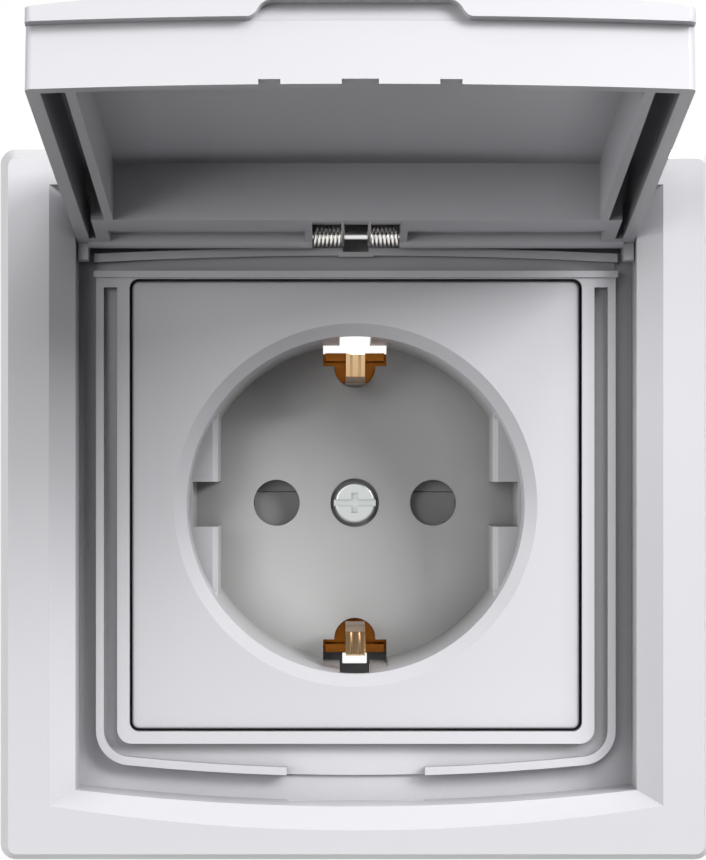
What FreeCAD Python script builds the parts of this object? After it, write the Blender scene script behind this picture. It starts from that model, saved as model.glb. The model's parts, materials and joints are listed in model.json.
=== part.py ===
import FreeCAD, Part
import math
import os
import Sketcher

# Flush-mounted weatherproof socket outlet with an earthed round recess and a sprung hinged lid.
# X runs to the right as seen from the front, Z runs up and the front faces -Y.
# The wall is the plane y = 0; the origin is the middle of the two fixing slots on that plane.
# A "height" below is a distance in front of the wall; a negative one lies inside the wall box.

os.makedirs("parts", exist_ok=True)
doc = FreeCAD.newDocument("weatherproof_socket")
sheet = doc.addObject("Spreadsheet::Sheet", "Sizes")


class Size:
    """A number together with the sheet formula that gives it."""

    def __init__(self, number, formula):
        self.number = number
        self.formula = formula

    def __add__(self, other):
        other = lift(other)
        return Size(self.number + other.number, "(%s + %s)" % (self.formula, other.formula))

    def __sub__(self, other):
        other = lift(other)
        return Size(self.number - other.number, "(%s - %s)" % (self.formula, other.formula))

    def __mul__(self, other):
        other = lift(other)
        return Size(self.number * other.number, "(%s * %s)" % (self.formula, other.formula))

    def __truediv__(self, other):
        other = lift(other)
        return Size(self.number / other.number, "(%s / %s)" % (self.formula, other.formula))

    def __neg__(self):
        return Size(-self.number, "(0 - %s)" % self.formula)

    def root(self):
        return Size(math.sqrt(self.number), "sqrt(%s)" % self.formula)

    __radd__ = __add__

    def __rsub__(self, other):
        return lift(other) - self

    def __rmul__(self, other):
        return lift(other) * self


def lift(value):
    """Take a Size as it is and wrap a plain number."""
    if isinstance(value, Size):
        return value
    return Size(float(value), "(%s)" % repr(float(value)))


def size(name, number, note):
    """Write one driving dimension into the next row of the sheet."""
    row = size.rows + 1
    size.rows = row
    sheet.set("A%d" % row, name)
    sheet.set("B%d" % row, str(number))
    sheet.set("C%d" % row, note)
    sheet.setAlias("B%d" % row, name)
    return Size(number, "Sizes.%s" % name)


size.rows = 0


def result(name, value):
    """Write a size that follows from others into the next row of the sheet."""
    row = size.rows + 1
    size.rows = row
    sheet.set("A%d" % row, name)
    sheet.set("B%d" % row, "=" + value.formula.replace("Sizes.", ""))
    sheet.setAlias("B%d" % row, name)
    return Size(value.number, "Sizes.%s" % name)


# General clearances
fit_gap = size("fit_gap", 0.3, "gap between pieces that move past each other")
bore_gap = size("bore_gap", 0.06, "radial play of a pin in its bore")
seat_gap = size("seat_gap", 0.1, "gap between pieces dropped into their pockets")

# Cover frame, outside
frame_lean = size("frame_lean", 2.15, "how far each side of the frame leans in from back to front")
side_border = size("side_border", 4.65, "flat front of the frame beside the bevel")
frame_corner = size("frame_corner", 1.8, "corner radius at the back")
face_corner = size("face_corner", 0.9, "corner radius at the front")
frame_height = size("frame_height", 13.0, "front face of the frame in front of the wall")
seal_thickness = size("seal_thickness", 0.8, "wall seal glued to the back edge")
skirt_wall = size("skirt_wall", 1.7, "wall of the outer skirt")
face_wall = size("face_wall", 1.8, "thickness behind the front face")

# Cover frame, opening for the lid
side_channel = size("side_channel", 2.02, "outer channel beside the sealing rib")
foot_channel = size("foot_channel", 3.0, "outer channel below the sealing rib")
hinge_head = size("hinge_head", 5.45, "opening above the hinge axis")
opening_bow = size("opening_bow", 1.9, "rise of the bottom edge at its ends")
bevel_depth = size("bevel_depth", 2.4, "bevel round the opening, measured into the frame")
bevel_side = size("bevel_side", 2.78, "width of the bevel at the sides")
bevel_foot = size("bevel_foot", 2.45, "width of the bevel at the middle of the bottom")
bevel_bow = size("bevel_bow", 2.8, "rise of the outer bevel edge at its ends")
tub_wall = size("tub_wall", 1.5, "walls round the opening")
channel_height = size("channel_height", 4.2, "floor of the outer channel")
floor_wall = size("floor_wall", 1.4, "thickness of that floor")
platform_step = size("platform_step", 0.5, "floor inside the sealing rib above the channel")

# Cover frame, ribs round the plate
rib_wall = size("rib_wall", 0.9, "thickness of the sealing rib")
trough_side = size("trough_side", 1.55, "trough between the rib and the lip, at the sides")
trough_foot = size("trough_foot", 2.85, "the same trough at the bottom")
rib_bow = size("rib_bow", 1.65, "rise of its bottom run at the ends")
rib_corner = size("rib_corner", 4.0, "outer corner radius of the sealing rib")
lip_rise = size("lip_rise", 1.5, "rib and lip above that floor")
drain_gap = size("drain_gap", 16.0, "gap in the bottom run that lets water out")
lip_wall = size("lip_wall", 1.42, "width of the lip round the plate")
lip_corner = size("lip_corner", 1.7, "outer corner radius of the lip")
trough_end = size("trough_end", 0.7, "upper end of the trough below the plate's top edge")
ridge_end = size("ridge_end", 1.77, "gap from each end of the ridge to the wall of the opening")
ridge_step = size("ridge_step", 0.17, "ridge above the seat of the plate")
ridge_wall = size("ridge_wall", 0.75, "thickness of the ridge")
ridge_rise = size("ridge_rise", 0.3, "ridge in front of the lip")
bar_gap = size("bar_gap", 1.0, "gap between the ridge and the ends of the curved bar")
bar_width = size("bar_width", 0.9, "breadth of the curved bar")
bar_rise = size("bar_rise", 0.8, "how far the bar arches up in the middle")
bar_sink = size("bar_sink", 0.2, "bar behind the front of the lip")
notch_width = size("notch_width", 3.0, "notch in the middle of the bar")
notch_wall = size("notch_wall", 0.55, "wall round the notch")
notch_step = size("notch_step", 1.2, "bottom of the notch above the ends of the bar's lower edge")
pocket_sink = size("pocket_sink", 1.8, "floor of the hinge pocket behind the channel")
pocket_wall = size("pocket_wall", 1.05, "thickness of the hinge pocket floor")
flange_width = size("flange_width", 1.8, "inward flange that the plate clamps")
seal_height = size("seal_height", 0.8, "seal between the flange and the plate")

# Hinge
knuckle_gap = size("knuckle_gap", 1.2, "gap between the turning lid and the pocket's floor")
axle_rise = size("axle_rise", 2.95, "hinge axis above the ends of the bar's lower edge")
axle_diameter = size("axle_diameter", 1.0, "steel hinge axle")
open_angle = size("open_angle", 99.5, "how far the lid swings open")

# Lid, in its closed place, measured from the hinge axis
lid_gap = size("lid_gap", 0.15, "gap between the lid and the walls of the opening")
lid_wall = size("lid_wall", 1.4, "side and front walls of the lid")
lid_skin = size("lid_skin", 1.45, "thickness of the lid's front panel")
rim_drop = size("rim_drop", 1.0, "rim of the lid behind the hinge axis")
panel_height = size("panel_height", 6.75, "front panel before the axis at the sides")
panel_dome = size("panel_dome", 1.4, "extra height of the panel in the middle")
inner_dome = size("inner_dome", 0.66, "the same on the inside of the panel")
knuckle_radius = size("knuckle_radius", 4.2, "rounded hinge end of the lid")
valley_reach = size("valley_reach", 6.0, "flat stretch beside the hinge")
slope_reach = size("slope_reach", 11.0, "where the slope meets the panel at the sides")
lid_corner = size("lid_corner", 0.8, "radius of the lid's free corners")
nose_reach = size("nose_reach", 1.3, "overhang of the panel along the free edge")
nose_thickness = size("nose_thickness", 1.45, "thickness of the overhang at the sides")
scoop_width = size("scoop_width", 22.0, "thumb scoop at its mouth")
scoop_back = size("scoop_back", 16.7, "thumb scoop at its back")
scoop_depth = size("scoop_depth", 1.6, "how far the scoop goes up into the overhang")
scoop_curve = size("scoop_curve", 0.22, "how far the flanks of the scoop curve")
wall_rib_gap = size("wall_rib_gap", 2.4, "gap between the side wall and the inner rib")
wall_rib = size("wall_rib", 1.0, "thickness of the inner rib")
block_reach = size("block_reach", 11.5, "depth of the hinge block")
block_gap = size("block_gap", 0.9, "gap between the side wall and the hinge block")
channel_reach = size("channel_reach", 2.5, "where the side channels begin")
groove_reach = size("groove_reach", 6.5, "end of the groove under the hinge block")
barrel_radius = size("barrel_radius", 1.45, "barrels round the axle")
ear_radius = size("ear_radius", 3.0, "end ears round the axle")
ear_width = size("ear_width", 1.17, "breadth of each ear")
ear_cut = size("ear_cut", 0.6, "flat of the ear beyond the axis")
notch_depth = size("notch_depth", 0.5, "air notches in the front rim")
mid_notch = size("mid_notch", 3.5, "middle air notch")
side_notch = size("side_notch", 2.1, "side air notches")
side_notch_at = size("side_notch_at", 8.6, "side air notches from the middle")

# Double torsion spring
wire = size("wire", 0.36, "spring wire")
coil_radius = size("coil_radius", 1.1, "middle of the wire from the axis")
coil_inner = size("coil_inner", 1.5, "inner end of each coil from the middle")
coil_outer = size("coil_outer", 4.75, "outer end of each coil from the middle")
coil_turns = size("coil_turns", 7, "turns in each coil")
loop_reach = size("loop_reach", 10.0, "reach of the middle loop under the lid")
loop_seat = size("loop_seat", 0.8, "seat of the loop in the lid, in front of the hinge axis")
coil_room = size("coil_room", 0.25, "gap between a coil's end and the cheek beside it")
bracket_wall = size("bracket_wall", 0.85, "cheeks beside the spring pocket")

# Centre plate with its recess
plate_gap = size("plate_gap", 0.28, "gap between the plate and the lip round it")
plate_border = size("plate_border", 4.85, "plate beside the mouth of the recess, at its narrowest")
plate_corner = size("plate_corner", 0.8, "corner radius of the plate")
plate_sink = size("plate_sink", 0.6, "front of the plate behind the front of the lip")
plate_thickness = size("plate_thickness", 2.0, "thickness of the plate")
plate_edge = size("plate_edge", 0.3, "rounding of the plate's front edges")
recess_depth = size("recess_depth", 17.5, "recess from the plate's front to its floor")
chamfer_width = size("chamfer_width", 1.4, "width of the chamfer round the recess")
recess_rim = size("recess_rim", 39.3, "diameter of the recess below the chamfer")
recess_draft = size("recess_draft", 0.5, "how far the recess wall leans in to the floor")
chamfer_depth = size("chamfer_depth", 1.2, "depth of the chamfer round the mouth")
pot_wall = size("pot_wall", 1.4, "wall of the recess")
pot_floor = size("pot_floor", 1.8, "floor of the recess")
guide_depth = size("guide_depth", 2.95, "how far the side guides stand in from the recess floor's edge")
block_top = size("block_top", 5.6, "side guides below the plate's front")
block_chamfer = size("block_chamfer", 0.6, "bevel on the front edge of the guides")
block_slot = size("block_slot", 5.3, "slot between the guides")
pin_pitch = size("pin_pitch", 19.0, "between the two pin holes")
pin_room = size("pin_room", 0.4, "pin holes round the plug pins, all round")
head_room = size("head_room", 0.4, "hole round the screw head, all round")
head_seat = size("head_seat", 1.0, "depth of that hole")
window_width = size("window_width", 7.7, "earth window in the recess floor")
window_reach = size("window_reach", 2.55, "earth windows inward from the recess floor's edge")
window_shift = size("window_shift", 0.125, "centre of the window's round end inward of that edge")
window_radius = size("window_radius", 2.5, "rounded inner end of the window")
stem_width = size("stem_width", 3.7, "earth slot in the recess wall")

# Centre screw
screw_diameter = size("screw_diameter", 3.0, "shank of the centre screw")
screw_head = size("screw_head", 5.1, "head of the centre screw")
head_height = size("head_height", 1.6, "height of the head")
screw_grip = size("screw_grip", 5.0, "length of the screw inside the base")
slot_width = size("slot_width", 0.8, "driving slot")
slot_depth = size("slot_depth", 0.8, "depth of the driving slot")
cross_length = size("cross_length", 2.4, "short arm across the driving slot")

# Support ring
ring_margin = size("ring_margin", 2.2, "sheet outside the fixing slots")
ring_corner = size("ring_corner", 5.0, "corner radius of the ring")
ring_thickness = size("ring_thickness", 1.0, "sheet of the ring")
ring_gap = size("ring_gap", 0.75, "hole of the ring round the recess, all round")
fixing_pitch = size("fixing_pitch", 60.0, "between the fixing screws")
fixing_length = size("fixing_length", 6.6, "length of each fixing slot")
fixing_width = size("fixing_width", 3.6, "width of each fixing slot")

# Insulating base
arm_gap = size("arm_gap", 0.85, "gap between the recess and the arms of the base")
strap_over = size("strap_over", 0.2, "earth strap beyond the ends of the base")
base_corner = size("base_corner", 8.0, "corner radius of the base")
carrier_room = size("carrier_room", 2.3, "depth for the shutter between the recess and the base")
base_depth = size("base_depth", 15.0, "depth of the base")
arm_wall = size("arm_wall", 3.0, "arms that carry the base on the ring")
arm_length = size("arm_length", 22.0, "breadth of those arms")
rivet_diameter = size("rivet_diameter", 2.4, "rivets through ring and arms")
rivet_pitch = size("rivet_pitch", 14.0, "between the two rivets of one arm")
rivet_shift = size("rivet_shift", 0.25, "rivets outward from the middle of the arm's wall")
rivet_head = size("rivet_head", 4.0, "head of a rivet")
rivet_head_height = size("rivet_head_height", 0.7, "height of the rivet head behind the arm")

# Contacts and terminals
pin_diameter = size("pin_diameter", 4.8, "plug pin that the contacts take")
sleeve_wall = size("sleeve_wall", 0.8, "wall of the contact sleeve")
sleeve_sink = size("sleeve_sink", 1.0, "mouth of the contact sleeves behind the base's face")
sleeve_length = size("sleeve_length", 8.0, "length of the contact sleeves")
tab_thickness = size("tab_thickness", 1.0, "sheet of the contacts")
tab_width = size("tab_width", 6.4, "breadth of the contact tabs")
tab_over = size("tab_over", 3.4, "contact tabs beyond the terminal screws")
terminal_gap = size("terminal_gap", 4.3, "terminal screws beyond the contact sleeves")
chamber_length = size("chamber_length", 7.8, "breadth of the contact chambers")
strap_width = size("strap_width", 8.0, "earth strap")
strap_inset = size("strap_inset", 0.95, "outer face of the earth strap inside the recess floor's edge")
shoulder_gap = size("shoulder_gap", 0.25, "gap beside the strap's shoulders in the windows")
shoulder_sink = size("shoulder_sink", 0.7, "front of the shoulders behind the recess floor")
finger_width = size("finger_width", 2.3, "earth fingers")
finger_sheet = size("finger_sheet", 0.7, "sheet of the fingers")
finger_bow = size("finger_bow", 3.9, "crest of the fingers inward from the strap's outer face")
crest_depth = size("crest_depth", 3.0, "crest of the fingers behind the wall")
tip_inset = size("tip_inset", 0.6, "tip of the fingers inward from the same face")
tip_depth = size("tip_depth", 1.5, "tip of the fingers in front of the wall")
clamp_thickness = size("clamp_thickness", 1.2, "clamping plates")
clamp_width = size("clamp_width", 6.0, "square clamping plates")
wire_room = size("wire_room", 1.6, "room for the wire under a clamping plate")
clamp_head = size("clamp_head", 5.0, "head of a terminal screw")
clamp_head_height = size("clamp_head_height", 1.7, "height of that head")
earth_screw_at = size("earth_screw_at", 11.0, "earth terminal below the middle")
entry_diameter = size("entry_diameter", 2.8, "wire entries in the back")
entry_offset = size("entry_offset", 2.3, "wire entries beside the terminal screw")

# Shutter behind the pin holes
carrier_wall = size("carrier_wall", 2.0, "side walls of the shutter housing")
carrier_sill = size("carrier_sill", 2.2, "wall of the housing below the shutter")
carrier_head = size("carrier_head", 3.1, "housing above the raised shutter")
carrier_skin = size("carrier_skin", 0.6, "front wall of the housing")
shutter_cover = size("shutter_cover", 0.9, "shutter beyond the pin holes, at the sides")
shutter_length = size("shutter_length", 8.0, "shutter from top to bottom")
shutter_thickness = size("shutter_thickness", 1.3, "sheet of the shutter")
shutter_clear = size("shutter_clear", 0.4, "raised shutter above the pin holes")
boss_diameter = size("boss_diameter", 4.8, "boss round the centre screw")
wedge_step = size("wedge_step", 0.25, "raised field on the front of the shutter")
return_wire = size("return_wire", 0.22, "wire of the return spring")
return_radius = size("return_radius", 0.5, "middle of the wire from the spring's axis")
return_turns = size("return_turns", 6, "turns of the return spring")

# Seals
plate_seal_width = size("plate_seal_width", 1.4, "breadth of the seal under the plate")

# What follows from the sizes above. Depths, from the channel's floor:
platform_height = result("platform_height", channel_height + platform_step)
lip_height = result("lip_height", platform_height + lip_rise)
plate_height = result("plate_height", lip_height - plate_sink)
flange_height = result("flange_height", plate_height - plate_thickness - seal_height)
ridge_height = result("ridge_height", lip_height + ridge_rise)
bar_height = result("bar_height", lip_height - bar_sink)
pocket_height = result("pocket_height", channel_height - pocket_sink)
axle_height = result("axle_height", pocket_height + knuckle_radius + knuckle_gap)
floor_depth = result("floor_depth", recess_depth - plate_height)
base_front = result("base_front", floor_depth + pot_floor + carrier_room)
base_back = result("base_back", base_front + base_depth)
sleeve_front = result("sleeve_front", base_front + sleeve_sink)
tab_front = result("tab_front", sleeve_front + sleeve_length)
screw_end = result("screw_end", base_front + screw_grip)
shoulder_front = result("shoulder_front", floor_depth + shoulder_sink)

# Widths, from the recess outwards:
recess_mouth = result("recess_mouth", recess_rim + chamfer_width * 2)
plate_width = result("plate_width", recess_mouth + plate_border * 2)
lip_reach = result("lip_reach", plate_width / 2 + plate_gap + lip_wall)
rib_width = result("rib_width", (lip_reach + trough_side + rib_wall) * 2)
opening_width = result("opening_width", rib_width + side_channel * 2)
ridge_width = result("ridge_width", opening_width - ridge_end * 2)
face_width = result("face_width", opening_width + (bevel_side + side_border) * 2)
frame_width = result("frame_width", face_width + frame_lean * 2)

# Levels, from the plate downwards and upwards:
rib_foot = result("rib_foot", lip_reach + trough_foot + rib_wall)
opening_foot = result("opening_foot", rib_foot + foot_channel)
trough_top = result("trough_top", plate_width / 2 - trough_end)
ridge_foot = result("ridge_foot", plate_width / 2 + plate_gap + ridge_step)
ridge_top = result("ridge_top", ridge_foot + ridge_wall)
bar_foot = result("bar_foot", ridge_top + bar_gap)
notch_foot = result("notch_foot", bar_foot + notch_step)
axle_level = result("axle_level", bar_foot + axle_rise)
opening_top = result("opening_top", axle_level + hinge_head)

# Recess, ring and base:
recess_floor = result("recess_floor", recess_rim - recess_draft * 2)
window_inner = result("window_inner", recess_floor / 2 - window_reach)
block_face = result("block_face", recess_floor / 2 - guide_depth)
head_hole = result("head_hole", screw_head + head_room * 2)
ring_hole = result("ring_hole", recess_rim + (pot_wall + ring_gap) * 2)
ring_width = result("ring_width", fixing_pitch + fixing_length + ring_margin * 2)
base_width = result("base_width", recess_rim + (pot_wall + arm_gap + arm_wall) * 2)

# Contacts, shutter and lid spring:
pin_hole = result("pin_hole", pin_diameter + pin_room * 2)
terminal_at = result("terminal_at", pin_pitch / 2 + pin_diameter / 2 + sleeve_wall + terminal_gap)
tab_end = result("tab_end", terminal_at + tab_over)
strap_end = result("strap_end", recess_floor / 2 - strap_inset)
shoulder_width = result("shoulder_width", window_width - shoulder_gap * 2)
base_length = result("base_length", (strap_end - strap_over) * 2)
finger_crest = result("finger_crest", strap_end - finger_bow)
finger_tip = result("finger_tip", strap_end - tip_inset)
shutter_width = result("shutter_width", pin_pitch + pin_hole + shutter_cover * 2)
shutter_slot = result("shutter_slot", boss_diameter + fit_gap * 2)
shutter_travel = result("shutter_travel", shutter_length / 2 + pin_hole / 2 + shutter_clear)
carrier_width = result("carrier_width", shutter_width + (fit_gap + carrier_wall) * 2)
carrier_foot = result("carrier_foot", shutter_length / 2 + fit_gap + carrier_sill)
carrier_top = result("carrier_top", shutter_length / 2 + shutter_travel + fit_gap + carrier_head)
spring_room = result("spring_room", (coil_outer + coil_room) * 2)

doc.recompute()


def bind(item, field, value):
    """Tie a property to the sheet, or set it when it is a plain number."""
    item.setExpression(field, lift(value).formula)


def new_body(label):
    body = doc.addObject("PartDesign::Body", label)
    body.Label = label
    return body


def new_sketch(body, role, offset):
    """Sketch on one of the body's own planes, moved along that plane's normal."""
    sketch = body.newObject("Sketcher::SketchObject", body.Name + "_sketch")
    for plane in body.Origin.OriginFeatures:
        if plane.Role == role:
            sketch.AttachmentSupport = [(plane, "")]
    sketch.MapMode = "FlatFace"
    bind(sketch, "AttachmentOffset.Base.z", offset)
    return sketch


def front_sketch(body, height):
    """Sketch seen from the front, in X and Z, at a height in front of the wall."""
    return new_sketch(body, "XZ_Plane", height)


def side_sketch(body, x):
    """Sketch seen from the right, in Y and Z."""
    return new_sketch(body, "YZ_Plane", x)


def top_sketch(body, z):
    """Sketch seen from above, in X and Y."""
    return new_sketch(body, "XY_Plane", z)


def limit(sketch, kind, where, value):
    """Add a dimension and tie it to the sheet."""
    index = sketch.addConstraint(Sketcher.Constraint(kind, *where, lift(value).number))
    sketch.setExpression("Constraints[%d]" % index, lift(value).formula)


def place(sketch, edge, end, x, y):
    """Fix one end of an edge by its two distances from the origin."""
    limit(sketch, "DistanceX", (-1, 1, edge, end), x)
    limit(sketch, "DistanceY", (-1, 1, edge, end), y)


def point(x, y):
    return FreeCAD.Vector(lift(x).number, lift(y).number, 0)


def arc_between(centre, radius, start, end):
    """Arc from start to end, turning counter-clockwise."""
    circle = Part.Circle(centre, FreeCAD.Vector(0, 0, 1), radius)
    first = math.atan2(start.y - centre.y, start.x - centre.x)
    last = math.atan2(end.y - centre.y, end.x - centre.x)
    if last <= first:
        last += 2 * math.pi
    return Part.ArcOfCircle(circle, first, last)


def chain(sketch, corners):
    """Close a chain of edges. A corner is (x, y), or (x, y, rise) when an arc leads to the next one,
    which then stands out by rise to the right of the way it goes, or to the left if negative."""
    ends = []
    for index, corner in enumerate(corners):
        following = corners[(index + 1) % len(corners)]
        start = point(corner[0], corner[1])
        end = point(following[0], following[1])
        if len(corner) == 2:
            edge = sketch.addGeometry(Part.LineSegment(start, end))
            ends.append((edge, 1, 2))
            continue
        rise = lift(corner[2])
        across = lift(following[0]) - corner[0]
        along = lift(following[1]) - corner[1]
        height = rise if rise.number > 0 else -rise
        radius = ((across * across + along * along) / 4 + height * height) / (height * 2)
        chord = end - start
        right = FreeCAD.Vector(chord.y, -chord.x, 0).normalize()
        middle = (start + end) * 0.5
        inward = height.number - radius.number
        if rise.number > 0:
            centre = middle + right * inward
            edge = sketch.addGeometry(arc_between(centre, radius.number, start, end))
            ends.append((edge, 1, 2))
        else:
            centre = middle - right * inward
            edge = sketch.addGeometry(arc_between(centre, radius.number, end, start))
            ends.append((edge, 2, 1))
        limit(sketch, "Radius", (edge,), radius)
    for index, corner in enumerate(corners):
        edge, first, last = ends[index]
        before = ends[index - 1]
        sketch.addConstraint(Sketcher.Constraint("Coincident", before[0], before[2], edge, first))
        place(sketch, edge, first, corner[0], corner[1])


def box_outline(sketch, left, right, low, high):
    chain(sketch, [(left, low), (right, low), (right, high), (left, high)])


def rounded_box(sketch, left, right, low, high, radius):
    """Rectangle with four equal round corners, drawn with tangent arcs."""
    l, r, b, t, c = [lift(value).number for value in (left, right, low, high, radius)]
    vector = FreeCAD.Vector
    lines = [
        Part.LineSegment(vector(l + c, b, 0), vector(r - c, b, 0)),
        Part.LineSegment(vector(r, b + c, 0), vector(r, t - c, 0)),
        Part.LineSegment(vector(r - c, t, 0), vector(l + c, t, 0)),
        Part.LineSegment(vector(l, t - c, 0), vector(l, b + c, 0)),
    ]
    centres = [
        vector(r - c, b + c, 0),
        vector(r - c, t - c, 0),
        vector(l + c, t - c, 0),
        vector(l + c, b + c, 0),
    ]
    sides = [sketch.addGeometry(line) for line in lines]
    arcs = []
    for index in range(4):
        start = lines[index].EndPoint
        end = lines[(index + 1) % 4].StartPoint
        arcs.append(sketch.addGeometry(arc_between(centres[index], c, start, end)))
    for index in range(4):
        kind = "Horizontal" if index % 2 == 0 else "Vertical"
        sketch.addConstraint(Sketcher.Constraint(kind, sides[index]))
        sketch.addConstraint(Sketcher.Constraint("Tangent", sides[index], 2, arcs[index], 1))
        sketch.addConstraint(Sketcher.Constraint("Tangent", arcs[index], 2, sides[(index + 1) % 4], 1))
        if index:
            sketch.addConstraint(Sketcher.Constraint("Equal", arcs[0], arcs[index]))
    limit(sketch, "Radius", (arcs[0],), radius)
    limit(sketch, "DistanceY", (-1, 1, sides[0], 1), low)
    limit(sketch, "DistanceX", (-1, 1, sides[1], 1), right)
    limit(sketch, "DistanceY", (-1, 1, sides[2], 1), high)
    limit(sketch, "DistanceX", (-1, 1, sides[3], 1), left)


def bowed_box(sketch, width, top, foot, bow):
    """Straight sides and top, and a bottom edge that bows down to foot in the middle."""
    half = width / 2
    chain(sketch, [(-half, foot + bow, bow), (half, foot + bow), (half, top), (-half, top)])


def disc(sketch, x, y, diameter):
    circle = Part.Circle(point(x, y), FreeCAD.Vector(0, 0, 1), lift(diameter).number / 2)
    edge = sketch.addGeometry(circle)
    limit(sketch, "Diameter", (edge,), diameter)
    place(sketch, edge, 3, x, y)


def pad(body, sketch, length, both=False):
    """Raise the sketch along its normal, or to both sides of it."""
    feature = body.newObject("PartDesign::Pad", body.Name + "_pad")
    feature.Profile = sketch
    feature.SideType = "Symmetric" if both else "One side"
    bind(feature, "Length", length)
    body.Tip = feature
    return feature


def pocket(body, sketch, length, both=False):
    """Cut the sketch against its normal, or to both sides of it."""
    feature = body.newObject("PartDesign::Pocket", body.Name + "_pocket")
    feature.Profile = sketch
    feature.SideType = "Symmetric" if both else "One side"
    bind(feature, "Length", length)
    body.Tip = feature
    return feature


def loft(body, kind, sections):
    feature = body.newObject("PartDesign::" + kind, body.Name + "_loft")
    feature.Profile = sections[0]
    feature.Sections = sections[1:]
    feature.Ruled = True
    body.Tip = feature
    return feature


def edges_where(shape, test):
    """Names of the edges whose two ends and middle pass the test."""
    names = []
    for index, edge in enumerate(shape.Edges):
        middle = edge.valueAt((edge.FirstParameter + edge.LastParameter) / 2)
        ends = [vertex.Point for vertex in edge.Vertexes]
        if test(ends, middle):
            names.append("Edge%d" % (index + 1))
    return names


def round_edges(body, base, names, radius):
    feature = body.newObject("PartDesign::Fillet", body.Name + "_fillet")
    feature.Base = (base, names)
    bind(feature, "Radius", radius)
    body.Tip = feature
    return feature


def near(a, b):
    return abs(a - b) < 0.01


def cover_frame():
    body = new_body("cover_frame")
    half = frame_width / 2
    face = face_width / 2
    back = front_sketch(body, seal_thickness)
    rounded_box(back, -half, half, -half, half, frame_corner)
    front = front_sketch(body, frame_height)
    rounded_box(front, -face, face, -face, face, face_corner)
    loft(body, "AdditiveLoft", [back, front])

    # The frame is a shell that opens to the wall.
    inner_back = front_sketch(body, seal_thickness)
    reach = half - skirt_wall
    rounded_box(inner_back, -reach, reach, -reach, reach, frame_corner)
    inner_front = front_sketch(body, frame_height - face_wall)
    reach = half - skirt_wall - frame_lean * (frame_height - face_wall) / frame_height
    rounded_box(inner_front, -reach, reach, -reach, reach, frame_corner)
    loft(body, "SubtractiveLoft", [inner_back, inner_front])

    # Walls and floor of the opening that takes the lid
    floor_back = channel_height - floor_wall
    tub = front_sketch(body, floor_back)
    outer_width = opening_width + tub_wall * 2
    bowed_box(tub, outer_width, opening_top + tub_wall, -opening_foot - tub_wall, opening_bow)
    pad(body, tub, frame_height - floor_back)
    opening = front_sketch(body, frame_height)
    bowed_box(opening, opening_width, opening_top, -opening_foot, opening_bow)
    pocket(body, opening, frame_height - channel_height)
    bevel_inner = front_sketch(body, frame_height - bevel_depth)
    bowed_box(bevel_inner, opening_width, opening_top, -opening_foot, opening_bow)
    bevel_outer = front_sketch(body, frame_height)
    bowed_box(bevel_outer, opening_width + bevel_side * 2, opening_top, -opening_foot - bevel_foot, bevel_bow)
    loft(body, "SubtractiveLoft", [bevel_inner, bevel_outer])

    # Platform, sealing rib with its drain gap, and the lip round the plate
    platform = front_sketch(body, floor_back)
    rib_box(platform, rib_width, axle_level, -rib_foot, rib_bow, rib_corner)
    pad(body, platform, platform_height - floor_back)
    rib = front_sketch(body, platform_height)
    rib_box(rib, rib_width, ridge_top, -rib_foot, rib_bow, rib_corner)
    rib_box(rib, rib_width - rib_wall * 2, trough_top, -rib_foot + rib_wall, rib_bow, rib_corner - rib_wall)
    pad(body, rib, lip_height - platform_height)
    drain = front_sketch(body, lip_height)
    box_outline(drain, -drain_gap / 2, drain_gap / 2, -opening_foot, -rib_foot + rib_bow)
    pocket(body, drain, lip_height - platform_height)
    lip = front_sketch(body, platform_height)
    rounded_box(lip, -lip_reach, lip_reach, -lip_reach, ridge_top, lip_corner)
    pad(body, lip, lip_height - platform_height)
    ridge = front_sketch(body, platform_height)
    box_outline(ridge, -ridge_width / 2, ridge_width / 2, ridge_foot, ridge_top)
    pad(body, ridge, ridge_height - platform_height)

    # Flange that the plate clamps, and the square hole for the plate
    back = pocket_height - pocket_wall
    reach = plate_width / 2 + plate_gap
    flange = front_sketch(body, back)
    outer = reach + lip_wall / 2
    rounded_box(flange, -outer, outer, -outer, outer, lip_corner)
    pad(body, flange, floor_back - back + floor_wall / 2)
    seat = front_sketch(body, frame_height)
    rounded_box(seat, -reach, reach, -reach, reach, plate_corner + plate_gap)
    pocket(body, seat, frame_height - flange_height)
    hole = front_sketch(body, frame_height)
    inner = reach - flange_width
    rounded_box(hole, -inner, inner, -inner, inner, plate_corner)
    pocket(body, hole, frame_height)

    # Curved bar below the hinge, with the notch in its middle
    half = ridge_width / 2
    bar_top = bar_foot + bar_width
    bar = front_sketch(body, floor_back)
    chain(bar, [(-half, bar_foot, -bar_rise), (half, bar_foot), (half, axle_level), (-half, axle_level)])
    pad(body, bar, bar_height - floor_back)
    notch = front_sketch(body, floor_back)
    side = notch_width / 2 + notch_wall
    box_outline(notch, -side, side, notch_foot - notch_wall, bar_top + bar_rise + notch_wall)
    pad(body, notch, bar_height - floor_back)

    # Hinge pocket above the bar, sunk deeper than the channel
    deep = front_sketch(body, back)
    side = opening_width / 2 + tub_wall
    box_outline(deep, -side, side, bar_foot, opening_top + tub_wall)
    pad(body, deep, floor_back - back + floor_wall / 2)
    hollow = front_sketch(body, axle_height)
    side = opening_width / 2
    slit = notch_width / 2
    crown = bar_top + bar_rise
    chain(hollow, [
        (-side, bar_top, -bar_rise / 4),
        (-slit, crown),
        (-slit, notch_foot),
        (slit, notch_foot),
        (slit, crown, -bar_rise / 4),
        (side, bar_top),
        (side, opening_top),
        (-side, opening_top),
    ])
    pocket(body, hollow, axle_height - pocket_height)

    # Bearings of the hinge axle in the side walls of the opening
    bearing = side_sketch(body, 0)
    disc(bearing, -axle_height, axle_level, axle_diameter + bore_gap)
    pocket(body, bearing, opening_width + tub_wall * 4, both=True)
    return body


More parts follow.
